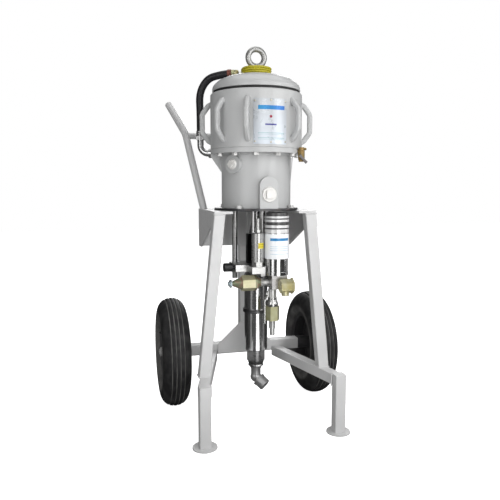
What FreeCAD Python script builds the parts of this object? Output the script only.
"""Air-driven airless paint sprayer on a two-wheeled cart, in millimetres.

X points to the viewer's right, Y to the back and Z up.  The origin is on the
floor, under the centre of the cart's footprint.  The air motor and the pump
share one upright axis, a little in front of the origin.
"""
import FreeCAD, Part
import Sketcher
import os
import re
from math import cos, pi, radians, sin, sqrt, tan

Vector = FreeCAD.Vector
Rotation = FreeCAD.Rotation
UP = Vector(0, 0, 1)
RIGHT = Vector(1, 0, 0)
LEFT = Vector(-1, 0, 0)
FRONT = Vector(0, -1, 0)

SIZES = {
    # clearances
    "running_gap": 0.05,
    "open_gap": 0.3,
    # wheels and axle
    "wheel_radius": 197, "wheel_half_width": 50, "wheel_half_track": 272.5,
    "axle_back": 120.5, "axle_radius": 10, "axle_half_length": 318,
    "bush_radius": 16, "hub_radius": 24, "hub_inboard": 57, "hub_outboard": 36,
    "bush_lip": 0.5, "rim_radius": 104, "rim_flange": 114, "rim_half_width": 34,
    "rim_sheet": 4, "rim_dish": 10, "bead_gap": 0.3, "tread_groove": 4, "carcass": 9,
    "nut_flats": 30, "nut_start": 309.6, "nut_end": 317,
    # cart tubes
    "tube_width": 36, "tube_wall": 2.5, "tube_corner": 3,
    "beam_width": 40, "beam_half_length": 214,
    "rail_bottom": 157, "rail_rear_side": 125,
    "post_side": 222, "post_front": -276.5, "post_top": 197, "post_cap": 2,
    "pad_radius": 39, "pad_height": 5,
    "leg_front": -169.5, "leg_foot_side": 205, "leg_head_side": 152,
    "bracket_top": 717, "flange_height": 8, "bracket_sheet": 6,
    "bracket_side": 170, "bracket_reach": 60, "bracket_nose": 30,
    "bracket_heel": 70, "channel_bottom": 589, "channel_front": 95.5, "channel_depth": 17,
    "rear_post_back": 118.5, "gusset_side": 105, "gusset_shoulder": 216,
    "gusset_top": 298, "gusset_neck": 18, "gusset_sheet": 6, "gusset_bottom": 182,
    # handles
    "handle_radius": 13, "handle_wall": 2, "handle_bend": 60,
    "handle_foot_side": 154, "handle_foot_back": 98,
    "handle_knee_side": 206, "handle_knee_back": 170.5, "handle_knee_height": 997,
    "handle_tip_side": 257, "handle_tip_back": 260, "handle_tip_height": 1114,
    "crossbar_radius": 11, "crossbar_share": 0.975,
    # air motor
    "pump_back": -59.5,
    "plate_bottom": 725, "plate_thick": 8, "plate_radius": 142, "plate_hole": 45,
    "neck_radius": 117, "neck_wall": 15, "neck_hole": 20,
    "flange_bottom": 911, "flange_top": 926, "deck_bottom": 905,
    "drum_radius": 153.5, "drum_bore": 142, "drum_top": 1108, "drum_round": 6,
    "gasket_radius": 144, "gasket_top": 1116,
    "cap_radius": 147, "cap_skirt": 1132, "cap_shoulder_radius": 127,
    "cap_shoulder": 1150, "cap_slope_radius": 102, "cap_slope": 1161,
    "cap_flat_radius": 78, "cap_top": 1167, "cap_wall": 12,
    "boss_half_width": 30.5, "boss_face": 138, "boss_depth": 88, "boss_arch": 805,
    "spool_bore": 14, "spool_bore_depth": 70, "big_plug_height": 778, "big_plug_shift": 6,
    "big_plug_radius": 25.5, "small_plug_radius": 17.5, "plug_thick": 6, "plug_square": 17,
    "small_boss_angle": -142, "small_boss_height": 875, "small_boss_radius": 29,
    "small_boss_face": 128, "small_boss_root": 100,
    "inlet_angle": 165, "inlet_width": 44, "inlet_foot": 852, "inlet_lip": 904,
    "inlet_reach": 152.4, "air_port_boss": 24, "air_port_face": 128,
    "air_port_height": 820, "air_port_radius": 12.05, "air_port_depth": 24,
    "bolt_circle": 138, "bolt_flats": 17, "bolt_head": 10, "bolt_start_angle": -105,
    "plate_bolt_circle": 128, "plate_bolt_angle": -131,
    "bow_width": 17, "bow_round": 4, "bow_inset": 150, "bow_reach": 189,
    "bow_inner_reach": 173, "bow_bottom": 940, "bow_top": 1087,
    "plate_arc": 41, "nameplate_angle": -88, "nameplate_bottom": 935,
    "nameplate_top": 1075, "nameplate_thick": 1.5,
    "eye_height": 1229, "eye_radius": 27.5, "eye_wire": 9.2, "eye_collar": 20,
    "eye_collar_height": 10, "eye_neck": 11, "eye_shank": 10,
    # the reciprocating group
    "stroke": 110, "air_piston_radius": 139, "air_piston_bottom": 930,
    "air_piston_thick": 30, "air_ring_bottom": 941, "ring_height": 8, "ring_depth": 5,
    "upper_rod": 12.5, "lower_rod": 11, "rod_joint": 577, "upper_rod_top": 966,
    "coupling_radius": 22, "coupling_bottom": 552, "coupling_height": 50,
    "guard_radius": 35, "guard_wall": 4,
    "spool_radius": 13.95, "spool_waist": 8, "spool_length": 48, "spool_start": 118,
    # displacement pump
    "head_bottom": 521, "head_top": 544, "head_spread": 76, "head_round": 20,
    "tie_rod_radius": 9.5, "tie_rod_foot": 486, "front_rod_foot": 506, "tie_nut_flats": 27,
    "tie_nut_height": 13,
    "barrel_radius": 40, "barrel_bore": 26, "barrel_bottom": 237, "barrel_neck": 36,
    "ring_bottom": 371, "ring_thick": 13, "ring_radius": 45,
    "foot_radius": 31.5, "foot_bottom": 176, "foot_flare": 195, "foot_flare_radius": 27.5,
    "foot_passage": 10, "foot_seat": 205, "foot_cage": 18, "foot_top": 250,
    "foot_ball_radius": 14, "cage_bar": 6, "cage_bar_height": 242,
    "pump_piston_radius": 25.4, "pump_piston_bottom": 262, "pump_piston_height": 68,
    "piston_passage": 8, "piston_seat": 276, "piston_cage": 14, "piston_cage_top": 312,
    "piston_ball_radius": 11, "piston_port_radius": 6, "piston_port_height": 300,
    "pump_ring_bottom": 264, "seal_groove": 4,
    "elbow_nipple": 17, "elbow_knuckle_height": 136, "elbow_knuckle": 19,
    "suction_radius": 21.5, "suction_length": 46, "suction_bore": 13,
    "suction_collar": 23.5, "suction_collar_start": 13, "suction_collar_width": 6,
    # parts on the pump head, measured from the pump's axis
    "relief_side": -21, "relief_front": -100, "relief_radius": 20, "relief_foot": 559,
    "relief_top": 655, "relief_stem": 6, "relief_stem_top": 700,
    "knob_front": -40, "knob_height": 535, "knob_radius": 14.5, "knob_length": 28,
    "knob_side": -95, "knob_stem": 5, "knob_stem_length": 38,
    "filter_side": 40, "filter_front": -110, "filter_bottom": 516, "filter_body": 37,
    "filter_foot": 38, "filter_foot_height": 11, "filter_label_radius": 40,
    "filter_label_bottom": 570, "filter_split": 654, "filter_top": 720, "filter_rib": 40,
    "filter_bore": 28, "element_radius": 21, "element_bore": 14,
    "manifold_bottom": 470, "manifold_left": 17, "manifold_right": 70,
    "manifold_front": -135, "manifold_back": -80, "arm_left": 17, "arm_right": 50,
    "arm_back": -48, "arm_bottom": 500,
    "union_front": -90, "union_height": 488, "union_tip": -119, "union_hex_left": -74,
    "union_hex_right": -23, "union_flats": 46, "union_root": -2,
    "outlet_front": -155, "outlet_height": 484, "outlet_left": 38, "outlet_right": 75,
    "outlet_tip": 83, "outlet_flats": 40, "outlet_nut_flats": 46, "outlet_leg": 12.5,
    "outlet_leg_side": 56, "outlet_leg_foot": 453, "outlet_bore": 7,
    "drain_side": 25, "drain_front": -113, "drain_body": 14, "drain_body_foot": 430,
    "drain_hex_top": 412, "drain_hex_bottom": 365, "drain_flats": 42,
    "drain_nipple": 11, "drain_nipple_foot": 338, "drain_tip": 8.5, "drain_foot": 314,
    "drain_bore": 5, "lever_height": 454, "lever_stem": 4, "lever_width": 16,
    "lever_sheet": 3.5, "lever_foot": 355,
    # air line
    "air_line_angle": 152, "air_height": 918, "air_radius": 11, "air_bore": 8,
    "air_reach": 197, "air_bend": 28, "air_rise": 46,
    "air_nut_flats": 30, "air_nut_length": 12, "hose_radius": 12.8,
    "ferrule_radius": 15, "ferrule_length": 12,
    "valve_angle": -42, "valve_reach": 165, "valve_radius": 11, "valve_bottom": 884,
    "valve_top": 930, "valve_lug": 6, "cock_height": 892, "cock_stem": 4,
    "cock_length": 34, "cock_width": 9, "cock_sheet": 4, "cock_slant": -45,
    # earth cable
    "coil_inner": 31, "coil_outer": 53, "coil_top": 1196.5,
    "loose_turn_radius": 58, "loose_turn_shift": 14, "cable_radius": 3.5,
    "clamp_back": 68, "clamp_length": 44, "clamp_width": 15, "clamp_height": 13,
    "lug_angle": 200, "lug_reach": 66, "lug_radius": 7, "lug_sheet": 2,
}

doc = FreeCAD.newDocument("paint_sprayer")
sheet = doc.addObject("Spreadsheet::Sheet", "Sizes")
for row, (alias, number) in enumerate(SIZES.items(), start=1):
    sheet.set(f"A{row}", alias)
    sheet.set(f"B{row}", str(number))
    sheet.setAlias(f"B{row}", alias)
doc.recompute()

nodes = {}


def bound(formula):
    """Turn a formula in the sheet's aliases into an expression for the document."""
    def cell(match):
        word = match.group()
        return "Sizes." + word if word in SIZES else word
    return re.sub(r"[a-z_]+", cell, str(formula))


def value(formula):
    """The number that a formula gives with the sheet's present values."""
    return float(sheet.evalExpression(bound(formula).replace("Sizes.", "")))


def bind(thing, settings):
    for name, formula in settings.items():
        thing.setExpression(name, bound(formula))


def place(thing, x=0, y=0, z=0, rotation=None):
    """Put a thing at formulas x, y, z, turned by a fixed rotation."""
    if rotation:
        thing.Placement = FreeCAD.Placement(Vector(), rotation)
    bind(thing, {"Placement.Base.x": x, "Placement.Base.y": y, "Placement.Base.z": z})
    return thing


def node(thing, name):
    """Hand a finished thing in as the sub-part of that name."""
    thing.Label = name
    nodes[name] = thing
    return thing


def feature(name):
    """A Part::Feature whose shape is set by the caller."""
    return doc.addObject("Part::Feature", name)


# ---- bodies from sketches

def new_body(name):
    return doc.addObject("PartDesign::Body", name)


def new_sketch(body, role, offset=0):
    """A sketch on one of the body's origin planes, moved along its normal."""
    sketch = body.newObject("Sketcher::SketchObject", body.Name + "_outline")
    plane = [item for item in body.Origin.OriginFeatures if item.Role == role][0]
    sketch.AttachmentSupport = [(plane, "")]
    sketch.MapMode = "FlatFace"
    bind(sketch, {"AttachmentOffset.Base.z": offset})
    return sketch


def fix_point(sketch, geometry, position, x, y):
    for kind, formula in (("DistanceX", x), ("DistanceY", y)):
        number = value(formula)
        index = sketch.addConstraint(
            Sketcher.Constraint(kind, -1, 1, geometry, position, number))
        sketch.setExpression(f"Constraints[{index}]", bound(formula))


def polygon(sketch, corners):
    """A closed outline whose corners are pairs of formulas."""
    points = [Vector(value(x), value(y), 0) for x, y in corners]
    first = sketch.GeometryCount
    count = len(points)
    for index in range(count):
        line = Part.LineSegment(points[index], points[(index + 1) % count])
        sketch.addGeometry(line)
    for index in range(count):
        following = first + (index + 1) % count
        sketch.addConstraint(
            Sketcher.Constraint("Coincident", first + index, 2, following, 1))
        fix_point(sketch, first + index, 1, *corners[index])


def rectangle(sketch, half_width, half_height, x=0, y=0):
    signs = ((-1, -1), (1, -1), (1, 1), (-1, 1))
    corners = []
    for side, end in signs:
        corners.append((f"{x} + {side} * ({half_width})", f"{y} + {end} * ({half_height})"))
    polygon(sketch, corners)


def pad(body, sketch, length, midplane=False, reverse=False, lean=None):
    """Extrude a sketch, along its normal or along a leaning vector."""
    made = body.newObject("PartDesign::Pad", body.Name + "_pad")
    made.Profile = sketch
    made.Midplane = midplane
    made.Reversed = reverse
    if lean:
        made.UseCustomVector = True
        made.Direction = lean
        made.AlongSketchNormal = True
    bind(made, {"Length": length})
    return made


def pocket(body, sketch, length=None, reverse=False):
    made = body.newObject("PartDesign::Pocket", body.Name + "_pocket")
    made.Profile = sketch
    made.Reversed = reverse
    if length is None:
        made.Type = 1
        made.Midplane = True
    else:
        bind(made, {"Length": length})
    return made


def lathe(name, corners, x=0, y="pump_back", z=0, axis=UP, angle=360, turn=0):
    """A turned body: corners are (radius, height) formulas about the axis."""
    body = new_body(name)
    sketch = new_sketch(body, "XZ_Plane")
    polygon(sketch, corners)
    made = body.newObject("PartDesign::Revolution", name + "_turned")
    made.Profile = sketch
    made.ReferenceAxis = (sketch, ["V_Axis"])
    bind(made, {"Angle": angle})
    rotation = Rotation(UP, axis).multiply(Rotation(UP, turn))
    place(body, x, y, z, rotation)
    doc.recompute()
    return body


def dress(body, kind, size, wanted):
    """Fillet or chamfer the edges of the body's last feature that wanted(edge) picks."""
    doc.recompute()
    base = body.Tip
    picked = []
    for index, edge in enumerate(base.Shape.Edges, start=1):
        if wanted(edge):
            picked.append(f"Edge{index}")
    if not picked:
        raise ValueError(f"{body.Name}: no edge to {kind}")
    made = body.newObject("PartDesign::" + kind, body.Name + "_" + kind.lower())
    made.Base = (base, picked)
    bind(made, {"Radius" if kind == "Fillet" else "Size": size})
    doc.recompute()
    return made


def ring_at(radius, height):
    """Picks the circular edges of one radius at one height."""
    def wanted(edge):
        curve = edge.Curve
        return (isinstance(curve, Part.Circle) and abs(curve.Radius - value(radius)) < 0.01
                and abs(curve.Center.z - value(height)) < 0.01)
    return wanted


def any_of(*tests):
    return lambda edge: any(test(edge) for test in tests)


def outer_long(direction, least):
    """Picks the long straight edges that run along a direction, on the outside."""
    direction = Vector(direction).normalize()

    def wanted(edge):
        if not isinstance(edge.Curve, Part.Line) or edge.Length < least:
            return False
        return abs(abs(edge.Curve.Direction.dot(direction)) - 1) < 1e-4
    return wanted


# ---- solids from primitives

def primitive(kind, name, settings, x=0, y=0, z=0, rotation=None):
    thing = doc.addObject("Part::" + kind, name)
    bind(thing, settings)
    return place(thing, x, y, z, rotation)


def box(name, x, y, z, length, width, height):
    """A box from its lowest corner."""
    return primitive("Box", name, {"Length": length, "Width": width, "Height": height},
                     x, y, z)


def fuse(name, *parts):
    thing = doc.addObject("Part::MultiFuse", name)
    thing.Shapes = list(parts)
    thing.Refine = True
    return thing


def cut(name, base, tool):
    thing = doc.addObject("Part::Cut", name)
    thing.Base = base
    thing.Tool = tool
    return thing


def group(name, *parts):
    """One sub-part of several separate solids."""
    thing = doc.addObject("Part::Compound", name)
    thing.Links = list(parts)
    return thing


def mirrored(name, source):
    thing = doc.addObject("Part::Mirroring", name)
    thing.Source = source
    thing.Normal = RIGHT
    return thing


def pair(name, *sources):
    """The sources and their images on the other side, as one sub-part."""
    images = []
    for source in sources:
        images.append(mirrored(source.Name + "_mirrored", source))
    return node(group(name, *sources, *images), name)


def stack(name, steps, x=0, y=0, z=0, axis=UP, turn=0, bore=None):
    """Hexagons, rounds and cones in line, fused, with an optional bore.

    A step is (kind, size, start, end), where size is a flat width for a hexagon,
    a radius for a round and a pair of radii for a cone.
    """
    rotation = Rotation(UP, axis).multiply(Rotation(UP, turn))
    parts = []
    for index, (kind, size, start, end) in enumerate(steps):
        label = f"{name}_step_{index}"
        height = {"Height": f"({end}) - ({start})"}
        if kind == "hexagon":
            part = doc.addObject("Part::Prism", label)
            part.Polygon = 6
            bind(part, {"Circumradius": f"({size}) / sqrt(3)", **height})
        elif kind == "round":
            part = doc.addObject("Part::Cylinder", label)
            bind(part, {"Radius": size, **height})
        else:
            part = doc.addObject("Part::Cone", label)
            bind(part, {"Radius1": size[0], "Radius2": size[1], **height})
        place(part, 0, 0, start)
        parts.append(part)
    whole = fuse(name + "_solid", *parts) if len(parts) > 1 else parts[0]
    if bore:
        radius, start, end = bore
        hole = primitive("Cylinder", name + "_bore",
                         {"Radius": radius, "Height": f"({end}) - ({start})"}, 0, 0, start)
        whole = cut(name + "_bored", whole, hole)
    holder = group(name, whole)
    return place(holder, x, y, z, rotation)


# ---- tubes along a path

def rounded_path(points, radius):
    """Straight runs through points, joined by tangent arcs of one radius."""
    edges = []
    start = points[0]
    for before, corner, after in zip(points, points[1:], points[2:]):
        into = (corner - before).normalize()
        out = (after - corner).normalize()
        turn = into.getAngle(out)
        reach = radius * tan(turn / 2)
        first = corner - into * reach
        last = corner + out * reach
        inward = (out - into).normalize()
        middle = corner + inward * (radius / cos(turn / 2) - radius)
        edges.append(Part.LineSegment(start, first).toShape())
        edges.append(Part.Arc(first, middle, last).toShape())
        start = last
    edges.append(Part.LineSegment(start, points[-1]).toShape())
    return Part.Wire(edges)


def cord_path(points):
    """A cord's path: at each point an arc as large as the runs beside it allow."""
    edges = []
    start = points[0]
    for before, corner, after in zip(points, points[1:], points[2:]):
        into = (corner - before).normalize()
        out = (after - corner).normalize()
        half = into.getAngle(out) / 2
        reach = 0.45 * min((corner - before).Length, (after - corner).Length)
        radius = reach / tan(half)
        print("bend radius", round(radius))
        first = corner - into * reach
        last = corner + out * reach
        inward = (out - into).normalize()
        middle = corner + inward * (radius / cos(half) - radius)
        edges.append(Part.LineSegment(start, first).toShape())
        edges.append(Part.Arc(first, middle, last).toShape())
        start = last
    edges.append(Part.LineSegment(start, points[-1]).toShape())
    return Part.Wire(edges)


def swept(path, radius):
    """A solid round bar along a path."""
    start = path.Edges[0]
    direction = start.tangentAt(start.FirstParameter)
    ring = Part.Wire(Part.makeCircle(radius, start.valueAt(start.FirstParameter), direction))
    return path.makePipeShell([ring], True, False)


# ---- cart

def square_tube(name, role, offset, x, y, width, height, length, lean, reverse=False):
    """A square tube from a sketch on a plane to a parallel plane, leaning on its way."""
    body = new_body(name)
    sketch = new_sketch(body, role, offset)
    rectangle(sketch, f"({width}) / 2", f"({height}) / 2", x, y)
    pad(body, sketch, length, lean=lean, reverse=reverse)
    dress(body, "Fillet", "tube_corner", outer_long(lean, 50))
    hollow = new_sketch(body, role, offset)
    rectangle(hollow, f"({width}) / 2 - tube_wall", f"({height}) / 2 - tube_wall", x, y)
    made = body.newObject("PartDesign::Pocket", name + "_hollow")
    made.Profile = hollow
    made.UseCustomVector = True
    made.Direction = lean
    made.AlongSketchNormal = True
    made.Reversed = False
    bind(made, {"Length": length})
    doc.recompute()
    return body


def cart_rails():
    """Two splayed rails from the axle beam forward to the foot posts."""
    run = value("axle_back - beam_width / 2 - post_front - tube_width / 2")
    side = value("post_side - rail_rear_side")
    lean = Vector(side, -run, 0)
    width = f"tube_width * {sqrt(run * run + side * side) / run:.5f}"
    body = square_tube("base_rail", "XZ_Plane", "-(axle_back - beam_width / 2)",
                       "rail_rear_side", "rail_bottom + tube_width / 2", width, "tube_width",
                       "axle_back - beam_width / 2 - post_front - tube_width / 2", lean)
    return pair("base_rails", body)


def cart_posts():
    """Upright tubes with closed tops, each on a round pad on the floor."""
    body = new_body("foot_post")
    sketch = new_sketch(body, "XY_Plane", "pad_height")
    rectangle(sketch, "tube_width / 2", "tube_width / 2", "post_side", "post_front")
    pad(body, sketch, "post_top - pad_height")
    dress(body, "Fillet", "tube_corner", outer_long(UP, 50))
    hollow = new_sketch(body, "XY_Plane", "pad_height")
    rectangle(hollow, "tube_width / 2 - tube_wall", "tube_width / 2 - tube_wall",
              "post_side", "post_front")
    pocket(body, hollow, "post_top - pad_height - post_cap", reverse=True)
    pads = primitive("Cylinder", "foot_pad", {"Radius": "pad_radius", "Height": "pad_height"},
                     "post_side", "post_front", 0)
    return pair("foot_posts", body, pads)


def cart_legs():
    """Two legs that lean in from the rails to the motor's brackets."""
    rise = value("bracket_top - rail_bottom - tube_width")
    lean = Vector(value("leg_head_side - leg_foot_side"), 0, rise)
    body = square_tube("leg", "XY_Plane", "rail_bottom + tube_width", "leg_foot_side",
                       "leg_front", "tube_width", "tube_width",
                       "bracket_top - rail_bottom - tube_width", lean)
    return pair("legs", body)


def axle_beam():
    body = square_tube("axle_beam", "YZ_Plane", "-beam_half_length", "axle_back",
                       "wheel_radius", "beam_width", "beam_width", "2 * beam_half_length",
                       RIGHT)
    return node(body, "axle_beam")


def rear_post():
    body = square_tube("rear_post", "XY_Plane", "wheel_radius + beam_width / 2", 0,
                       "rear_post_back", "tube_width", "tube_width",
                       "channel_bottom - wheel_radius - beam_width / 2", UP)
    return node(body, "rear_post")


def post_gusset():
    """A flat plate that stiffens the foot of the rear post."""
    body = new_body("post_gusset")
    sketch = new_sketch(body, "XZ_Plane", "-(axle_back - beam_width / 2)")
    polygon(sketch, [("-gusset_side", "gusset_bottom"), ("gusset_side", "gusset_bottom"),
                     ("gusset_side", "gusset_shoulder"), ("gusset_neck", "gusset_top"),
                     ("-gusset_neck", "gusset_top"), ("-gusset_side", "gusset_shoulder")])
    pad(body, sketch, "gusset_sheet")
    return node(body, "post_gusset")


def rear_cross_plate():
    """A pressed channel between the two side brackets, open to the back."""
    body = new_body("rear_cross_plate")
    sketch = new_sketch(body, "YZ_Plane")
    back = "channel_front + channel_depth"
    web = "channel_front + bracket_sheet"
    polygon(sketch, [
        ("channel_front", "channel_bottom"), (back, "channel_bottom"),
        (back, "channel_bottom + bracket_sheet"), (web, "channel_bottom + bracket_sheet"),
        (web, "bracket_top - bracket_sheet"), (back, "bracket_top - bracket_sheet"),
        (back, "bracket_top"), ("channel_front", "bracket_top")])
    pad(body, sketch, "2 * (bracket_side - bracket_sheet)", midplane=True)
    return node(body, "rear_cross_plate")


def side_brackets():
    """Angle brackets: an upright tapered plate and the flange that carries the motor."""
    body = new_body("side_bracket")
    front = "leg_front + tube_width / 2"
    back = "channel_front + channel_depth"
    plate = new_sketch(body, "YZ_Plane", "bracket_side - bracket_sheet")
    polygon(plate, [(front, "bracket_top"), (front, "bracket_top - bracket_nose"),
                    ("bracket_heel", "channel_bottom"), (back, "channel_bottom"),
                    (back, "bracket_top")])
    pad(body, plate, "bracket_sheet")
    flange = new_sketch(body, "XY_Plane", "bracket_top")
    near = "leg_front - tube_width / 2"
    polygon(flange, [("bracket_side - bracket_reach", near), ("bracket_side", near),
                     ("bracket_side", back), ("bracket_side - bracket_reach", back)])
    pad(body, flange, "flange_height")
    return pair("side_brackets", body)


def handle_points():
    knee = Vector(value("handle_knee_side"), value("handle_knee_back"),
                  value("handle_knee_height"))
    foot = Vector(value("handle_foot_side"), value("handle_foot_back"),
                  value("plate_bottom"))
    tip = Vector(value("handle_tip_side"), value("handle_tip_back"),
                 value("handle_tip_height"))
    below = foot + (foot - knee) * 0.1
    return [below, knee, tip]


def push_handle():
    """Two bent tubes that stand on the side brackets, and the bar between them."""
    path = rounded_path(handle_points(), value("handle_bend"))
    outside = swept(path, value("handle_radius"))
    inside = swept(path, value("handle_radius - handle_wall"))
    ground = Part.makeBox(200, 200, 100, Vector(value("handle_foot_side") - 100,
                          value("handle_foot_back") - 100, value("plate_bottom") - 100))
    tube = outside.cut(inside).cut(ground)
    foot, knee, tip = handle_points()
    spot = foot + (knee - foot) * value("crossbar_share")
    reach = spot.x
    rod = Part.makeCylinder(value("crossbar_radius"), 2 * reach,
                            Vector(-reach, spot.y, spot.z), RIGHT)
    bar = rod.cut(outside).cut(outside.mirror(Vector(), RIGHT))
    handle = feature("push_handle")
    handle.Shape = Part.makeCompound([tube, tube.mirror(Vector(), RIGHT), bar])
    return node(handle, "push_handle")


# ---- wheels

def tyre_outline():
    """Half of the tyre's section, from the middle of the tread round to its inside."""
    groove = "wheel_radius - tread_groove"
    outside = [("wheel_radius", 5), (groove, 6), (groove, 10), ("wheel_radius", 11),
               ("wheel_radius - 1", 20), ("wheel_radius - 1 - tread_groove", 21),
               ("wheel_radius - 1 - tread_groove", 25), ("wheel_radius - 2", 26),
               ("wheel_radius - 6", 35), ("wheel_radius - 18", 45),
               ("wheel_radius - 40", "wheel_half_width"),
               ("wheel_radius - 62", "wheel_half_width - 2"),
               ("rim_flange + 8", "rim_half_width + 8"),
               ("rim_flange + bead_gap", "rim_half_width + 1"),
               ("rim_flange + bead_gap", "rim_half_width - rim_sheet - bead_gap"),
               ("rim_radius + bead_gap", "rim_half_width - rim_sheet - bead_gap")]
    inside = [("rim_radius + bead_gap", "rim_half_width - rim_sheet - carcass"),
              ("rim_flange + 12", "rim_half_width - carcass + 2"),
              ("wheel_radius - 60", "wheel_half_width - carcass"),
              ("wheel_radius - 32", "wheel_half_width - carcass - 2"),
              ("wheel_radius - carcass - 6", 26),
              ("wheel_radius - carcass - 3", 8)]
    half = outside + inside
    other = []
    for radius, side in reversed(half):
        other.append((radius, f"-({side})"))
    return half + other


def rim_outline():
    """Hub, dished disc and flanged barrel of one wheel; height runs outboard."""
    inner = "rim_radius - rim_sheet"
    wide = "rim_half_width"
    return [("bush_radius", "-hub_inboard"), ("hub_radius - 3", "-hub_inboard"),
            ("hub_radius", "-hub_inboard + 3"), ("hub_radius", "-rim_sheet / 2"),
            ("hub_radius + 20", "-rim_sheet / 2"),
            ("rim_radius - 32", "rim_dish - rim_sheet / 2"),
            (inner, "rim_dish - rim_sheet / 2"), (inner, f"-{wide} + rim_sheet"),
            ("rim_flange - rim_sheet / 2", f"-{wide}"), ("rim_flange", f"-{wide} + 1"),
            ("rim_flange", f"-{wide} + rim_sheet"), ("rim_radius", f"-{wide} + rim_sheet"),
            ("rim_radius", f"{wide} - rim_sheet"), ("rim_flange", f"{wide} - rim_sheet"),
            ("rim_flange", f"{wide} - 1"), ("rim_flange - rim_sheet / 2", wide),
            (inner, f"{wide} - rim_sheet"), (inner, "rim_dish + rim_sheet / 2"),
            ("rim_radius - 32", "rim_dish + rim_sheet / 2"),
            ("hub_radius + 20", "rim_sheet / 2"), ("hub_radius", "rim_sheet / 2"),
            ("hub_radius", "hub_outboard - 3"), ("hub_radius - 3", "hub_outboard"),
            ("bush_radius", "hub_outboard")]


def wheels():
    """Both wheels: tyre, rim and bush are separate pieces that turn together."""
    for side, sign, axis in (("left", -1, LEFT), ("right", 1, RIGHT)):
        spot = dict(x=f"{sign} * wheel_half_track", y="axle_back", z="wheel_radius",
                    axis=axis)
        node(lathe("tyre_" + side, tyre_outline(), **spot), "tyre_" + side)
        node(lathe("rim_" + side, rim_outline(), **spot), "rim_" + side)
        bush = lathe("wheel_bush_" + side, [
            ("axle_radius + running_gap", "-hub_inboard - bush_lip"),
            ("bush_radius", "-hub_inboard - bush_lip"),
            ("bush_radius", "hub_outboard + bush_lip"),
            ("axle_radius + running_gap", "hub_outboard + bush_lip")], **spot)
        node(bush, "wheel_bush_" + side)


def axle():
    rod = primitive("Cylinder", "axle_shaft",
                    {"Radius": "axle_radius", "Height": "2 * axle_half_length"},
                    "-axle_half_length", "axle_back", "wheel_radius", Rotation(UP, RIGHT))
    node(rod, "axle_shaft")
    nut = stack("axle_nut", [
        ("hexagon", "nut_flats", "nut_start", "nut_end"),
        ("cone", ("nut_flats / 2 - 1", "nut_flats / 2 - 7"), "nut_end", "nut_end + 4.5")],
        0, "axle_back", "wheel_radius", RIGHT,
        bore=("axle_radius", "nut_start - 1", "axle_half_length"))
    return pair("axle_nuts", nut)


# ---- air motor

def radial(angle):
    """The rotation that turns the X direction to an angle round the motor."""
    return Rotation(UP, value(angle))


def motor_base():
    """The cast neck: a hollow drum with a flange, a bore for the rod and its bosses."""
    rod_bore = "upper_rod + running_gap"
    inner = "neck_radius - neck_wall"
    turned = lathe("neck_turned", [
        ("neck_hole", "plate_bottom + plate_thick"),
        ("neck_radius", "plate_bottom + plate_thick"), ("neck_radius", "flange_bottom"),
        ("drum_radius", "flange_bottom"), ("drum_radius", "flange_top"),
        (rod_bore, "flange_top"), (rod_bore, "deck_bottom"), (inner, "deck_bottom"),
        (inner, "plate_bottom + plate_thick + neck_wall"),
        ("neck_hole", "plate_bottom + plate_thick + neck_wall")])
    dress(turned, "Fillet", 8, ring_at("neck_radius", "flange_bottom"))
    boss = new_body("front_boss")
    sketch = new_sketch(boss, "XZ_Plane", "boss_face")
    foot = "plate_bottom + plate_thick"
    polygon(sketch, [("-boss_half_width", foot), ("boss_half_width", foot),
                     ("boss_half_width", "boss_arch"), ("-boss_half_width", "boss_arch")])
    pad(boss, sketch, "boss_depth", reverse=True)
    place(boss, "big_plug_shift", "pump_back")
    arch = primitive("Cylinder", "boss_arch",
                     {"Radius": "boss_half_width", "Height": "boss_depth"},
                     "big_plug_shift", "pump_back - boss_face", "boss_arch",
                     Rotation(UP, FRONT * -1))
    turn = radial("small_boss_angle")
    lug = primitive("Cylinder", "small_boss",
                    {"Radius": "small_boss_radius",
                     "Height": "small_boss_face - small_boss_root"})
    angle = radians(value("small_boss_angle"))
    place(lug, f"small_boss_root * {cos(angle):.6f}",
          f"pump_back + small_boss_root * {sin(angle):.6f}", "small_boss_height",
          turn.multiply(Rotation(UP, RIGHT)))
    inlet = new_body("inlet_shoulder")
    wedge = new_sketch(inlet, "XZ_Plane")
    polygon(wedge, [(inner, "flange_bottom + 2"), ("inlet_reach", "flange_bottom + 2"),
                    ("inlet_reach", "inlet_lip"), ("neck_radius", "inlet_foot"),
                    (inner, "inlet_foot")])
    pad(inlet, wedge, "inlet_width", midplane=True)
    place(inlet, 0, "pump_back", 0, radial("inlet_angle"))
    rear = primitive("Cylinder", "air_port_boss",
                     {"Radius": "air_port_boss",
                      "Height": "air_port_face - small_boss_root"},
                     0, "pump_back + small_boss_root", "air_port_height",
                     Rotation(UP, FRONT * -1))
    solid = fuse("neck_solid", turned, boss, arch, lug, inlet, rear)
    bore = primitive("Cylinder", "spool_bore_cut",
                     {"Radius": "spool_bore", "Height": "spool_bore_depth"},
                     "big_plug_shift", "pump_back - boss_face", "big_plug_height",
                     Rotation(UP, FRONT * -1))
    port = primitive("Cylinder", "air_port_cut",
                     {"Radius": "air_port_radius", "Height": "air_port_depth"},
                     0, "pump_back + air_port_face", "air_port_height",
                     Rotation(UP, FRONT))
    holes = fuse("neck_holes", bore, port)
    return node(cut("motor_base", solid, holes), "motor_base")


def motor_cylinder():
    body = lathe("motor_cylinder", [
        ("drum_bore", "flange_top"), ("drum_radius - 1.5", "flange_top"),
        ("drum_radius", "flange_top + 1.5"), ("drum_radius", "drum_top"),
        ("drum_bore", "drum_top")])
    dress(body, "Fillet", "drum_round", ring_at("drum_radius", "drum_top"))
    return node(body, "motor_cylinder")


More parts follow.
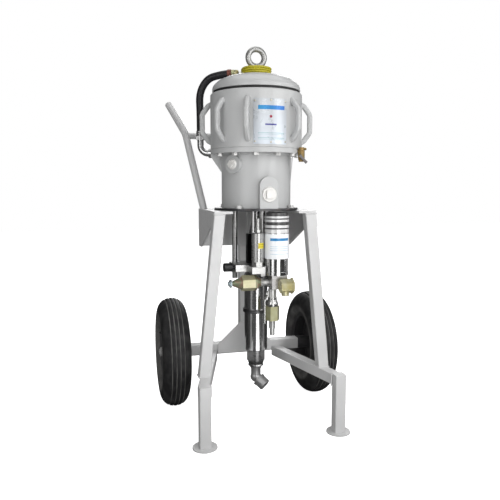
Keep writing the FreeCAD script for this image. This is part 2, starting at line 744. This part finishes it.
def motor_cap():
    """The domed cover, hollow inside, with a hole for the lifting eye."""
    hole = "eye_shank"
    body = lathe("motor_cap", [
        (hole, "cap_top"), ("cap_flat_radius", "cap_top"),
        ("cap_slope_radius", "cap_slope"), ("cap_shoulder_radius", "cap_shoulder"),
        ("cap_radius", "cap_skirt"), ("cap_radius", "gasket_top"),
        ("drum_bore", "gasket_top"), ("drum_bore", "cap_skirt - 6"),
        ("cap_shoulder_radius - 8", "cap_shoulder - cap_wall"),
        ("cap_slope_radius - 4", "cap_slope - cap_wall"),
        (hole, "cap_top - cap_wall")])
    dress(body, "Fillet", 24, any_of(ring_at("cap_radius", "cap_skirt"),
                                     ring_at("cap_shoulder_radius", "cap_shoulder"),
                                     ring_at("cap_slope_radius", "cap_slope")))
    dress(body, "Fillet", 10, ring_at("cap_flat_radius", "cap_top"))
    return node(body, "motor_cap")


def rings():
    node(lathe("cap_gasket", [
        ("drum_bore", "drum_top"), ("gasket_radius", "drum_top"),
        ("gasket_radius", "gasket_top"), ("drum_bore", "gasket_top")]), "cap_gasket")
    plate = lathe("base_plate", [
        ("plate_hole", "plate_bottom"), ("plate_radius - 1", "plate_bottom"),
        ("plate_radius", "plate_bottom + 1"),
        ("plate_radius", "plate_bottom + plate_thick - 1"),
        ("plate_radius - 1", "plate_bottom + plate_thick"),
        ("plate_hole", "plate_bottom + plate_thick")])
    node(plate, "base_plate")


def hex_bolt(radius, height, angle, head_height, flats):
    """One bolt head hanging under, or standing on, a face."""
    spot = Vector(radius * cos(angle), radius * sin(angle) + value("pump_back"), height)
    corners = []
    for corner in range(7):
        around = angle + corner * pi / 3
        reach = flats / sqrt(3)
        corners.append(spot + Vector(reach * cos(around), reach * sin(around), 0))
    face = Part.Face(Part.makePolygon(corners))
    head = face.extrude(Vector(0, 0, head_height))
    away = UP if head_height > 0 else UP * -1
    dome = Part.makeCone(flats * 0.64, flats * 0.42, abs(head_height), spot, away)
    return head.common(dome)


def flange_bolts():
    """Bolts under the drum's flange, with the inlet in one's place, and four below."""
    heads = []
    first = value("bolt_start_angle")
    for index in range(12):
        degrees_round = first + 30 * index
        if degrees_round == value("inlet_angle"):
            continue
        heads.append(hex_bolt(value("bolt_circle"), value("flange_bottom"),
                              radians(degrees_round), -value("bolt_head"),
                              value("bolt_flats")))
    for index in range(4):
        angle = radians(value("plate_bolt_angle") + 90 * index)
        heads.append(hex_bolt(value("plate_bolt_circle"),
                              value("plate_bottom + plate_thick"), angle,
                              value("bolt_head") * 0.8, value("bolt_flats")))
    bolts = feature("flange_bolts")
    bolts.Shape = Part.makeCompound(heads)
    return node(bolts, "flange_bolts")


BOW_ANGLES = [-148, -115, -58, -13, 32, 77, 122, 167]


def bow_handles():
    """Cast bows round the drum, each a D with a gap for the fingers."""
    body = new_body("bow")
    sketch = new_sketch(body, "XZ_Plane")
    polygon(sketch, [("bow_inset", "bow_bottom"), ("bow_reach - 20", "bow_bottom + 6"),
                     ("bow_reach", "bow_bottom + 34"), ("bow_reach", "bow_top - 34"),
                     ("bow_reach - 20", "bow_top - 6"), ("bow_inset", "bow_top")])
    pad(body, sketch, "bow_width", midplane=True)
    gap = new_sketch(body, "XZ_Plane")
    polygon(gap, [("bow_inset", "bow_bottom + 18"), ("bow_inner_reach - 12", "bow_bottom + 22"),
                  ("bow_inner_reach", "bow_bottom + 38"), ("bow_inner_reach", "bow_top - 38"),
                  ("bow_inner_reach - 12", "bow_top - 22"), ("bow_inset", "bow_top - 18")])
    pocket(body, gap)
    outer = value("bow_inset") + 1

    def crest(edge):
        return (edge.BoundBox.YLength < 0.01
                and all(vertex.Point.x > outer for vertex in edge.Vertexes))
    dress(body, "Fillet", "bow_round", crest)
    drum = Part.makeCylinder(value("drum_radius"), 400, Vector(0, 0, 800))
    bow = body.Shape.cut(drum)
    bows = []
    for angle in BOW_ANGLES:
        turned = bow.copy()
        turned.rotate(Vector(), UP, angle)
        turned.translate(Vector(0, value("pump_back"), 0))
        bows.extend(turned.Solids)
    handles_all = feature("bow_handles")
    handles_all.Shape = Part.makeCompound(bows)
    return node(handles_all, "bow_handles")


def nameplate():
    body = lathe("nameplate", [
        ("drum_radius", "nameplate_bottom"),
        ("drum_radius + nameplate_thick", "nameplate_bottom"),
        ("drum_radius + nameplate_thick", "nameplate_top"),
        ("drum_radius", "nameplate_top")], angle="plate_arc",
        turn=value("nameplate_angle - plate_arc / 2"))
    return node(body, "nameplate")


def eyebolt():
    ring = primitive("Torus", "eye_ring", {"Radius1": "eye_radius", "Radius2": "eye_wire"},
                     0, "pump_back", "eye_height", Rotation(UP, FRONT))
    collar = primitive("Cylinder", "eye_collar",
                       {"Radius": "eye_collar", "Height": "eye_collar_height"},
                       0, "pump_back", "cap_top")
    neck = primitive("Cone", "eye_neck",
                     {"Radius1": "eye_neck + 4", "Radius2": "eye_neck - 2",
                      "Height": "eye_height - eye_radius - cap_top - 2"},
                     0, "pump_back", "cap_top + 2")
    shank = primitive("Cylinder", "eye_shank",
                      {"Radius": "eye_shank", "Height": "cap_wall + 8"},
                      0, "pump_back", "cap_top - cap_wall - 6")
    return node(fuse("eyebolt", ring, collar, neck, shank), "eyebolt")


def port_plugs():
    """Screwed plugs with square heads, in the two bosses of the neck."""
    big = stack("big_plug", [
        ("cone", ("big_plug_radius", "big_plug_radius - 3"), 0, "plug_thick"),
        ("round", "plug_square * 0.66", "plug_thick", "plug_thick + 2")],
        "big_plug_shift", "pump_back - boss_face", "big_plug_height", FRONT)
    head = box("big_plug_head", "big_plug_shift - plug_square * 0.7",
               "pump_back - boss_face - plug_thick - 9",
               "big_plug_height - plug_square * 0.7",
               "plug_square * 1.4", "9", "plug_square * 1.4")
    angle = radians(value("small_boss_angle"))
    small_axis = Vector(cos(angle), sin(angle), 0)
    spot_x = f"small_boss_face * {cos(angle):.6f}"
    spot_y = f"pump_back + small_boss_face * {sin(angle):.6f}"
    small = stack("small_plug", [
        ("cone", ("small_plug_radius", "small_plug_radius - 3"), 0, "plug_thick")],
        spot_x, spot_y, "small_boss_height", small_axis)
    square = primitive("Box", "small_plug_head",
                       {"Length": "plug_square", "Width": "plug_square",
                        "Height": "plug_thick + 7"})
    square.Placement = FreeCAD.Placement(Vector(), Rotation(UP, small_axis))
    corner = Rotation(UP, small_axis).multVec(
        Vector(-value("plug_square") / 2, -value("plug_square") / 2, 0))
    place(square, f"{spot_x} + {corner.x:.5f}", f"{spot_y} + {corner.y:.5f}",
          f"small_boss_height + {corner.z:.5f}", Rotation(UP, small_axis))
    plugs = group("port_plugs", fuse("big_plug_whole", big, head),
                  fuse("small_plug_whole", small, square))
    return node(plugs, "port_plugs")


# ---- what moves with the air piston

def reciprocating_parts():
    """Piston, seals, rods, coupling and pump piston, at the bottom of the stroke."""
    ring_top = "air_ring_bottom + ring_height"
    groove = "air_piston_radius - ring_depth"
    piston_top = "air_piston_bottom + air_piston_thick"
    node(lathe("air_piston", [
        ("upper_rod", "air_piston_bottom"), ("air_piston_radius", "air_piston_bottom"),
        ("air_piston_radius", "air_ring_bottom"), (groove, "air_ring_bottom"),
        (groove, ring_top), ("air_piston_radius", ring_top),
        ("air_piston_radius", piston_top), ("upper_rod", piston_top)]), "air_piston")
    air_ring = lathe("air_ring", [
        (groove, "air_ring_bottom"), ("drum_bore - open_gap", "air_ring_bottom"),
        ("drum_bore - open_gap", ring_top), (groove, ring_top)])
    pump_ring = lathe("pump_ring", [
        ("pump_piston_radius - seal_groove", "pump_ring_bottom"),
        ("barrel_bore - open_gap", "pump_ring_bottom"),
        ("barrel_bore - open_gap", "pump_ring_bottom + ring_height"),
        ("pump_piston_radius - seal_groove", "pump_ring_bottom + ring_height")])
    node(group("piston_seals", air_ring, pump_ring), "piston_seals")
    upper = primitive("Cylinder", "upper_rod_bar",
                      {"Radius": "upper_rod", "Height": "upper_rod_top - rod_joint"},
                      0, "pump_back", "rod_joint")
    lower = primitive("Cylinder", "lower_rod_bar",
                      {"Radius": "lower_rod",
                       "Height": "rod_joint - piston_cage_top - 6"},
                      0, "pump_back", "piston_cage_top + 6")
    node(group("piston_rods", upper, lower), "piston_rods")
    top = "coupling_bottom + coupling_height"
    coupling = lathe("rod_coupling", [
        ("lower_rod", "coupling_bottom"), ("coupling_radius - 2", "coupling_bottom"),
        ("coupling_radius", "coupling_bottom + 2"), ("coupling_radius", f"{top} - 2"),
        ("coupling_radius - 2", top), ("upper_rod", top), ("upper_rod", "rod_joint"),
        ("lower_rod", "rod_joint")])
    node(coupling, "rod_coupling")
    bottom = "pump_piston_bottom"
    turned = lathe("pump_piston_turned", [
        ("piston_passage", bottom), ("pump_piston_radius - seal_groove", bottom),
        ("pump_piston_radius - seal_groove", "pump_ring_bottom + ring_height"),
        ("pump_piston_radius", "pump_ring_bottom + ring_height"),
        ("pump_piston_radius", "piston_cage_top + 6"),
        ("lower_rod + 4", "pump_piston_bottom + pump_piston_height"),
        ("lower_rod", "pump_piston_bottom + pump_piston_height"),
        ("lower_rod", "piston_cage_top + 6"), (0, "piston_cage_top + 6"),
        (0, "piston_cage_top"), ("piston_cage", "piston_cage_top"),
        ("piston_cage", "piston_seat + piston_cage - piston_passage"),
        ("piston_passage", "piston_seat")])
    port = primitive("Cylinder", "piston_port",
                     {"Radius": "piston_port_radius", "Height": "4 * barrel_bore"},
                     "-2 * barrel_bore", "pump_back", "piston_port_height",
                     Rotation(UP, RIGHT))
    node(cut("pump_piston", turned, port), "pump_piston")
    for name, size, seat, passage in (
            ("piston_ball", "piston_ball_radius", "piston_seat", "piston_passage"),
            ("foot_ball", "foot_ball_radius", "foot_seat", "foot_passage")):
        ball = primitive("Sphere", name, {"Radius": size}, 0, "pump_back",
                         f"{seat} - {passage} + ({size} + open_gap) * sqrt(2)")
        node(ball, name)


def distributor_spool():
    """The valve that changes the air over, behind the big plug."""
    land = "spool_length / 4"
    body = lathe("distributor_spool", [
        (0, 0), ("spool_radius", 0), ("spool_radius", land), ("spool_waist", land),
        ("spool_waist", f"spool_length / 2 - {land} / 2"),
        ("spool_radius", f"spool_length / 2 - {land} / 2"),
        ("spool_radius", f"spool_length / 2 + {land} / 2"),
        ("spool_waist", f"spool_length / 2 + {land} / 2"),
        ("spool_waist", f"spool_length - {land}"),
        ("spool_radius", f"spool_length - {land}"), ("spool_radius", "spool_length"),
        (0, "spool_length")],
        x="big_plug_shift", y="pump_back - spool_start + spool_length",
        z="big_plug_height", axis=FRONT)
    return node(body, "distributor_spool")


# ---- displacement pump

def rod_spots():
    """Places of the three tie rods round the pump's axis, and their lower ends."""
    spread = value("head_spread")
    spots = []
    for angle, foot in ((150, "tie_rod_foot"), (30, "tie_rod_foot"),
                        (270, "front_rod_foot")):
        spots.append((spread * cos(radians(angle)), spread * sin(radians(angle)), foot))
    return spots


def tie_rods():
    """Three rods that hang the pump under the motor, each with a nut under the head."""
    rods = []
    for index, (x, y, foot) in enumerate(rod_spots()):
        rods.append(stack(f"tie_rod_{index}", [
            ("round", "tie_rod_radius", foot, "plate_bottom"),
            ("hexagon", "tie_nut_flats", "head_bottom - tie_nut_height", "head_bottom")],
            f"{x:.4f}", f"pump_back + {y:.4f}"))
    return node(group("tie_rods", *rods), "tie_rods")


def filter_seat(name):
    """The room that the filter's foot takes, from the manifold's top upwards."""
    return primitive("Cylinder", name, {"Radius": "filter_foot + open_gap", "Height": "60"},
                     "filter_side", "pump_back + filter_front", "filter_bottom")


def pump_head():
    """A three-lobed plate with a block for the valves on its left and front."""
    body = new_body("head_plate")
    sketch = new_sketch(body, "XY_Plane", "head_bottom")
    corners = []
    for angle in (150, 270, 30):
        reach = "(head_spread + 2 * head_round)"
        corners.append((f"{reach} * {cos(radians(angle)):.6f}",
                        f"{reach} * {sin(radians(angle)):.6f}"))
    polygon(sketch, corners)
    pad(body, sketch, "head_top - head_bottom")
    dress(body, "Fillet", "head_round", outer_long(UP, 5))
    place(body, 0, "pump_back")
    height = "head_top - head_bottom"
    left_block = box("valve_block", "-86", "pump_back - 60", "head_bottom", "86", "90", height)
    front_block = box("relief_block", "-46", "pump_back - 122", "head_bottom", "44", "80",
                      height)
    solid = fuse("head_solid", body, left_block, front_block)
    holes = [primitive("Cylinder", "head_rod_bore",
                       {"Radius": "lower_rod + running_gap", "Height": "60"},
                       0, "pump_back", "head_bottom - 20")]
    for index, (x, y, foot) in enumerate(rod_spots()):
        holes.append(primitive("Cylinder", f"head_hole_{index}",
                               {"Radius": "tie_rod_radius", "Height": "60"},
                               f"{x:.4f}", f"pump_back + {y:.4f}", "head_bottom - 20"))
    holes.append(primitive("Cylinder", "needle_bore",
                           {"Radius": "knob_stem + running_gap",
                            "Height": "knob_stem_length + 2"},
                           "knob_side", "pump_back + knob_front", "knob_height",
                           Rotation(UP, RIGHT)))
    holes.append(filter_seat("head_scallop"))
    return node(cut("pump_head", solid, fuse("head_holes", *holes)), "pump_head")


def pump_barrel():
    node(lathe("pump_cylinder", [
        ("barrel_bore", "barrel_bottom"), ("barrel_radius - 2", "barrel_bottom"),
        ("barrel_radius", "barrel_bottom + 2"), ("barrel_radius", "head_bottom - 18"),
        ("barrel_neck", "head_bottom - 14"), ("barrel_neck", "head_bottom"),
        ("barrel_bore", "head_bottom")]), "pump_cylinder")
    ring = lathe("joint_ring_band", [
        ("barrel_radius", "ring_bottom"), ("ring_radius - 1", "ring_bottom"),
        ("ring_radius", "ring_bottom + 1"), ("ring_radius", "ring_bottom + ring_thick - 1"),
        ("ring_radius - 1", "ring_bottom + ring_thick"),
        ("barrel_radius", "ring_bottom + ring_thick")])
    ear = box("joint_ring_ear", "barrel_radius + 2", "pump_back - 6", "ring_bottom",
              "12", "12", "ring_thick")
    node(fuse("joint_ring", ring, ear), "joint_ring")
    bottom = "foot_bottom"
    turned = lathe("foot_turned", [
        ("foot_passage", bottom), ("foot_flare_radius - 4", bottom),
        ("foot_flare_radius", f"{bottom} + 4"), ("foot_flare_radius - 3", f"{bottom} + 9"),
        ("foot_flare_radius", f"{bottom} + 14"), ("foot_flare_radius", "foot_flare"),
        ("foot_radius", "foot_flare + 3"), ("foot_radius", "barrel_bottom"),
        ("barrel_bore", "barrel_bottom"), ("barrel_bore", "foot_top"),
        ("foot_cage", "foot_top"), ("foot_cage", "foot_seat + foot_cage - foot_passage"),
        ("foot_passage", "foot_seat")])
    bar = box("foot_cage_bar", "-foot_cage - 2", "pump_back - cage_bar / 2",
              "cage_bar_height", "2 * foot_cage + 4", "cage_bar", "cage_bar")
    node(fuse("foot_valve", turned, bar), "foot_valve")


SUCTION_WAY = Vector(0.60, -0.55, -0.58).normalize()


def suction_elbow():
    """The elbow under the foot valve; its open end takes the suction hose."""
    knuckle = "elbow_knuckle_height"
    nipple = stack("elbow_nipple", [
        ("round", "elbow_nipple", knuckle, "foot_bottom - 6"),
        ("round", "elbow_nipple + 3", "foot_bottom - 6", "foot_bottom")], 0, "pump_back")
    ball = primitive("Sphere", "elbow_ball", {"Radius": "elbow_knuckle"}, 0, "pump_back",
                     knuckle)
    collar_end = "suction_collar_start + suction_collar_width"
    spout = stack("elbow_spout", [
        ("round", "elbow_nipple", 0, "suction_collar_start"),
        ("round", "suction_collar", "suction_collar_start", collar_end),
        ("round", "suction_radius", collar_end, "suction_length - 2"),
        ("cone", ("suction_radius", "suction_radius - 2"), "suction_length - 2",
         "suction_length")], 0, "pump_back", knuckle, SUCTION_WAY)
    solid = fuse("elbow_solid", nipple, ball, spout)
    down = primitive("Cylinder", "elbow_down_bore",
                     {"Radius": "foot_passage", "Height": "60"}, 0, "pump_back", knuckle)
    out = primitive("Cylinder", "elbow_out_bore",
                    {"Radius": "suction_bore", "Height": "60"}, 0, "pump_back", knuckle,
                    Rotation(UP, SUCTION_WAY))
    return node(cut("suction_elbow", solid, fuse("elbow_bores", down, out)),
                "suction_elbow")


def rod_guard():
    """The sleeve round the coupling, between the pump head and the base plate."""
    inner = "guard_radius - guard_wall"
    middle = "(head_top + plate_bottom) / 2 + 10"
    return node(lathe("rod_guard", [
        (inner, "head_top"), ("guard_radius", "head_top"), ("guard_radius", middle),
        ("guard_radius - 1.5", f"{middle} + 1.5"),
        ("guard_radius - 1.5", "plate_bottom + plate_thick"),
        (inner, "plate_bottom + plate_thick")]), "rod_guard")


def relief_valve():
    spot = dict(x="relief_side", y="pump_back + relief_front")
    return node(stack("relief_valve", [
        ("hexagon", "relief_radius * 1.7", "head_top", "relief_foot"),
        ("round", "relief_radius", "relief_foot", "relief_top - 3"),
        ("cone", ("relief_radius", "relief_radius - 3"), "relief_top - 3", "relief_top"),
        ("hexagon", "relief_stem * 2.8", "relief_top", "relief_top + 9"),
        ("round", "relief_stem", "relief_top + 9", "relief_stem_top")], **spot),
        "relief_valve")


def bypass_knob():
    """A fluted knob with its needle, which screws into the pump head."""
    knob = stack("bypass_knob_core", [
        ("round", "knob_stem", "-knob_stem_length", 0),
        ("round", "knob_radius", 0, "knob_length - 2"),
        ("cone", ("knob_radius", "knob_radius - 2"), "knob_length - 2", "knob_length")],
        "knob_side", "pump_back + knob_front", "knob_height", LEFT)
    flutes = []
    for index in range(12):
        angle = 2 * pi * index / 12
        flutes.append(primitive(
            "Cylinder", f"knob_flute_{index}", {"Radius": 1.6, "Height": "knob_length + 2"},
            "knob_side + 1",
            f"pump_back + knob_front + (knob_radius + 0.6) * {cos(angle):.6f}",
            f"knob_height + (knob_radius + 0.6) * {sin(angle):.6f}", Rotation(UP, LEFT)))
    return node(cut("bypass_knob", knob, fuse("knob_flutes", *flutes)), "bypass_knob")


# ---- filter and outlets

def paint_filter():
    spot = dict(x="filter_side", y="pump_back + filter_front")
    foot = "filter_bottom + filter_foot_height"
    node(lathe("filter_bowl", [
        (0, "filter_bottom"), ("filter_foot", "filter_bottom"), ("filter_foot", foot),
        ("filter_body", foot), ("filter_body", "filter_label_bottom"),
        ("filter_label_radius", "filter_label_bottom"),
        ("filter_label_radius", "filter_split"), ("filter_bore", "filter_split"),
        ("filter_bore", foot), (0, foot)], **spot), "filter_bowl")
    ribs = [(0, 13), (17, 26), (36, 44), (48, 55)]
    corners = [(0, "filter_split")]
    for start, end in ribs:
        low = f"filter_split + {start}"
        high = f"filter_split + {end}"
        if start:
            corners.append(("filter_rib - 5", low))
        corners.append(("filter_rib", low))
        corners.append(("filter_rib", high))
        corners.append(("filter_rib - 5", high))
    corners += [("filter_rib - 5", "filter_top"), (0, "filter_top")]
    node(lathe("filter_cap", corners, **spot), "filter_cap")
    node(lathe("filter_element", [
        ("element_bore", f"{foot} + 2"), ("element_radius", f"{foot} + 2"),
        ("element_radius", "filter_split - 3"), ("element_bore", "filter_split - 3")],
        **spot), "filter_element")
    front = "pump_back + manifold_front"
    block = box("manifold_block", "manifold_left", front, "manifold_bottom",
                "manifold_right - manifold_left", "manifold_back - manifold_front",
                "filter_bottom - manifold_bottom")
    arm = box("manifold_arm", "arm_left", "pump_back + manifold_back", "arm_bottom",
              "arm_right - arm_left", "arm_back - manifold_back",
              "head_bottom - arm_bottom")
    solid = fuse("manifold_solid", block, arm)
    node(cut("filter_manifold", solid, filter_seat("arm_scallop")), "filter_manifold")


def outlet_union():
    """The capped second outlet: a hexagon union that lies along X."""
    steps = [
        ("round", 7, "union_tip", "union_tip + 16"),
        ("hexagon", 24, "union_tip + 5", "union_tip + 12"),
        ("cone", (9, 21), "union_tip + 16", "union_hex_left"),
        ("hexagon", "union_flats", "union_hex_left", "union_hex_right"),
        ("cone", (20, 12), "union_hex_right", "union_root"),
        ("round", 10, "union_root", "manifold_left")]
    return node(stack("outlet_union", steps, 0, "pump_back + union_front",
                      "union_height", RIGHT), "outlet_union")


def outlet_elbow():
    """The paint outlet: a hexagon elbow whose threaded leg points down."""
    body = stack("outlet_body", [
        ("hexagon", "outlet_flats", "outlet_left", "outlet_right"),
        ("hexagon", "outlet_nut_flats", "outlet_right", "outlet_tip - 2"),
        ("cone", ("outlet_nut_flats / 2", "outlet_nut_flats / 2 - 4"), "outlet_tip - 2",
         "outlet_tip")], 0, "pump_back + outlet_front", "outlet_height", RIGHT)
    leg = primitive("Cylinder", "outlet_leg",
                    {"Radius": "outlet_leg", "Height": "outlet_height - outlet_leg_foot"},
                    "outlet_leg_side", "pump_back + outlet_front", "outlet_leg_foot")
    solid = fuse("outlet_solid", body, leg)
    hole = primitive("Cylinder", "outlet_hole",
                     {"Radius": "outlet_bore", "Height": "outlet_height - outlet_leg_foot"},
                     "outlet_leg_side", "pump_back + outlet_front", "outlet_leg_foot")
    return node(cut("outlet_elbow", solid, hole), "outlet_elbow")


def drain_valve():
    """A ball valve under the manifold, its union and its hose nipple."""
    spot = dict(x="drain_side", y="pump_back + drain_front")
    solid = stack("drain_solid", [
        ("round", "drain_tip", "drain_foot", "drain_nipple_foot"),
        ("round", "drain_nipple", "drain_nipple_foot", "drain_hex_bottom"),
        ("hexagon", "drain_flats", "drain_hex_bottom", "drain_hex_top"),
        ("cone", ("drain_body + 5", "drain_body"), "drain_hex_top", "drain_body_foot"),
        ("round", "drain_body", "drain_body_foot", "manifold_bottom")],
        bore=("drain_bore", "drain_foot - 1", "drain_hex_bottom"), **spot)
    hole = primitive("Cylinder", "lever_bore",
                     {"Radius": "lever_stem + running_gap", "Height": "drain_body + 2"},
                     "drain_side - drain_body - 2", "pump_back + drain_front",
                     "lever_height", Rotation(UP, RIGHT))
    return node(cut("drain_valve", solid, hole), "drain_valve")


def drain_lever():
    """The valve's bent strip lever and its stem, which turn about X."""
    body = new_body("lever_strip")
    sketch = new_sketch(body, "XZ_Plane")
    near = "drain_side - drain_body - 0.5"
    far = f"{near} - 11"
    polygon(sketch, [
        (f"{near} - lever_sheet", "lever_height + 9"), (near, "lever_height + 9"),
        (near, "lever_height - 8"), (far, "lever_height - 24"), (far, "lever_foot"),
        (f"{far} - lever_sheet", "lever_foot"),
        (f"{far} - lever_sheet", "lever_height - 23"),
        (f"{near} - lever_sheet", "lever_height - 7")])
    pad(body, sketch, "lever_width", midplane=True)
    place(body, 0, "pump_back + drain_front")
    stem = stack("lever_stem", [
        ("round", "lever_stem", "-drain_body", "lever_sheet + 0.5"),
        ("hexagon", "lever_stem * 2.6", "lever_sheet + 0.5", "lever_sheet + 4.5")],
        "drain_side - drain_body", "pump_back + drain_front", "lever_height", LEFT)
    return node(fuse("drain_lever", body, stem), "drain_lever")


# ---- air line

# The hose's route in its upright plane: distance from the motor's axis, and height.
HOSE_ROUTE = [(197, 994), (197, 1056), (200, 1122), (171, 1169), (125, 1180), (97, 1182)]


def air_line():
    """Inlet elbow, hose over the cap and its fittings, in one upright plane."""
    turn = radians(value("air_line_angle"))
    outward = Vector(cos(turn), sin(turn), 0)
    centre = Vector(0, value("pump_back"), 0)

    def at(reach, height):
        return centre + outward * reach + UP * height

    height = value("air_height")
    reach = value("air_reach")
    inner = value("drum_radius") + 0.1
    nut_end = inner + value("air_nut_length")
    top = height + value("air_rise")
    path = rounded_path([at(inner, height), at(reach, height), at(reach, top)],
                        value("air_bend"))
    nut = Part.makeCylinder(value("air_nut_flats") / 2 + 1, nut_end - inner,
                            at(inner, height), outward)
    solid = swept(path, value("air_radius")).fuse(nut)
    elbow = feature("air_elbow")
    elbow.Shape = solid.cut(swept(path, value("air_bore"))).removeSplitter()
    node(elbow, "air_elbow")

    route = [at(side, up) for side, up in HOSE_ROUTE]
    hose_path = cord_path(route)
    hose = feature("air_hose")
    hose.Shape = swept(hose_path, value("hose_radius"))
    expected = hose_path.Length * pi * value("hose_radius") ** 2
    if abs(hose.Shape.Volume / expected - 1) > 0.01:
        raise ValueError("the hose's volume is not its section times its length")
    print("hose length", round(hose_path.Length))
    node(hose, "air_hose")

    end = route[-1]
    ahead = (end - route[-2]).normalize()
    width = value("ferrule_radius")
    start = route[0].z
    lower_ferrule = Part.makeCylinder(width, start - top, at(reach, top), UP)
    length = value("ferrule_length")
    upper_ferrule = Part.makeCylinder(width - 0.5, length, end, ahead)
    joint = end + ahead * length
    body_end = joint + ahead * 16
    barrel = Part.makeCylinder(width - 4, 16, joint, ahead)
    knuckle = Part.makeSphere(width - 3, body_end)
    foot = body_end.z - value("cap_top")
    stem = Part.makeCylinder(width - 6, foot,
                             Vector(body_end.x, body_end.y, value("cap_top")), UP)
    fittings = feature("hose_fittings")
    top_fitting = barrel.fuse([knuckle, stem]).removeSplitter()
    fittings.Shape = Part.makeCompound([lower_ferrule, upper_ferrule, top_fitting])
    return node(fittings, "hose_fittings")


def drain_cock():
    """The small brass cock on the drum's flange, and its lever."""
    angle = radians(value("valve_angle"))
    side = f"valve_reach * {cos(angle):.6f}"
    back = f"pump_back + valve_reach * {sin(angle):.6f}"
    body = stack("cock_body", [
        ("round", "valve_radius - 2", "valve_bottom", "valve_bottom + 6"),
        ("hexagon", "valve_radius * 1.8", "valve_bottom + 6", "valve_top - 10"),
        ("round", "valve_radius - 2", "valve_top - 10", "valve_top")], side, back)
    outward = Vector(cos(angle), sin(angle), 0)
    nipple = primitive("Cylinder", "cock_nipple",
                       {"Radius": "valve_lug", "Height": "valve_reach - drum_radius"},
                       f"drum_radius * {cos(angle):.6f}",
                       f"pump_back + drum_radius * {sin(angle):.6f}",
                       "valve_top - 12", Rotation(UP, outward))
    lug = primitive("Cylinder", "cock_lug", {"Radius": "valve_lug - 2", "Height": "16"},
                    side, back, "valve_top - 5", Rotation(UP, RIGHT))
    solid = fuse("cock_solid", body, nipple, lug)
    hole = primitive("Cylinder", "cock_bore",
                     {"Radius": "cock_stem + running_gap", "Height": "valve_radius + 4"},
                     side, f"{back} - valve_radius - 4", "cock_height",
                     Rotation(UP, FRONT * -1))
    node(cut("air_valve_body", solid, hole), "air_valve_body")
    stem = primitive("Cylinder", "cock_stem",
                     {"Radius": "cock_stem", "Height": "valve_radius + 4 + cock_sheet"},
                     side, f"{back} - valve_radius - 4 - cock_sheet", "cock_height",
                     Rotation(UP, FRONT * -1))
    arm = new_body("cock_arm")
    sketch = new_sketch(arm, "XZ_Plane")
    polygon(sketch, [("-cock_length / 2", "-cock_width / 2"),
                     ("0", "-cock_width / 2 + 1"), ("cock_length / 2", "-cock_width / 2"),
                     ("cock_length / 2", "cock_width / 2"), ("0", "cock_width / 2 - 1"),
                     ("-cock_length / 2", "cock_width / 2")])
    pad(arm, sketch, "cock_sheet")
    slant = Rotation(Vector(0, -1, 0), value("cock_slant"))
    place(arm, side, f"{back} - valve_radius - 4", "cock_height", slant)
    return node(fuse("air_valve_lever", stem, arm), "air_valve_lever")


# ---- earth cable

def earth_cable():
    """The cable coiled on the cap round the lifting eye, its lug and its clamp."""
    coil = primitive("Cylinder", "coil_outside",
                     {"Radius": "coil_outer", "Height": "coil_top - cap_top"},
                     0, "pump_back", "cap_top")
    loose = primitive("Cylinder", "loose_turn",
                      {"Radius": "loose_turn_radius", "Height": "4 * cable_radius"},
                      "loose_turn_shift", "pump_back", "cap_top")
    hole = primitive("Cylinder", "coil_inside", {"Radius": "coil_inner", "Height": "60"},
                     0, "pump_back", "cap_top - 10")
    node(cut("earth_cable", fuse("coil_solid", coil, loose), hole), "earth_cable")

    back = "pump_back + clamp_back - clamp_width / 2"
    body = box("earth_clamp_body", "-clamp_length / 2", back, "cap_top",
               "clamp_length", "clamp_width", "clamp_height * 0.35")
    jaw = box("earth_clamp_jaw", "-clamp_length / 2 + 4", f"{back} + 2", "cap_top",
              "clamp_length * 0.4", "clamp_width - 4", "clamp_height")
    tail = box("earth_clamp_tail", "-cable_radius - 1", f"{back} - 4", "cap_top",
               "2 * cable_radius + 2", "6", "2 * cable_radius + 2")
    node(fuse("earth_clamp", body, jaw, tail), "earth_clamp")

    around = radians(value("lug_angle"))
    x = f"lug_reach * {cos(around):.6f}"
    y = f"pump_back + lug_reach * {sin(around):.6f}"
    lug = stack("earth_lug_screw", [
        ("round", "lug_radius", 0, "lug_sheet"),
        ("hexagon", "lug_radius * 1.5", "lug_sheet", "lug_sheet + 4")], x, y, "cap_top")
    inward = Vector(-cos(around), -sin(around), 0)
    barrel = primitive("Cylinder", "earth_lug_barrel",
                       {"Radius": "cable_radius + 1", "Height": "lug_reach - coil_outer"},
                       x, y, "cap_top + cable_radius + 1.6", Rotation(UP, inward))
    return node(fuse("earth_lug", lug, barrel), "earth_lug")


def build():
    cart_rails()
    cart_posts()
    cart_legs()
    axle_beam()
    rear_post()
    post_gusset()
    rear_cross_plate()
    side_brackets()
    push_handle()
    wheels()
    axle()
    motor_base()
    motor_cylinder()
    motor_cap()
    rings()
    flange_bolts()
    bow_handles()
    nameplate()
    eyebolt()
    port_plugs()
    reciprocating_parts()
    distributor_spool()
    tie_rods()
    pump_head()
    pump_barrel()
    suction_elbow()
    rod_guard()
    relief_valve()
    bypass_knob()
    paint_filter()
    outlet_union()
    outlet_elbow()
    drain_valve()
    drain_lever()
    air_line()
    drain_cock()
    earth_cable()


def write():
    doc.recompute()
    for thing in doc.Objects:
        if "Invalid" in thing.State or "Error" in thing.State:
            raise ValueError(f"{thing.Name} failed: {thing.State}")
    for name, thing in nodes.items():
        if thing.Shape.isNull() or not thing.Shape.isValid() or not thing.Shape.Solids:
            raise ValueError(f"{name} has no valid solid")
    os.makedirs("parts", exist_ok=True)
    for name, thing in nodes.items():
        thing.Shape.exportStep(f"parts/{name}.step")
        print(name, len(thing.Shape.Solids), round(thing.Shape.Volume))


build()
write()
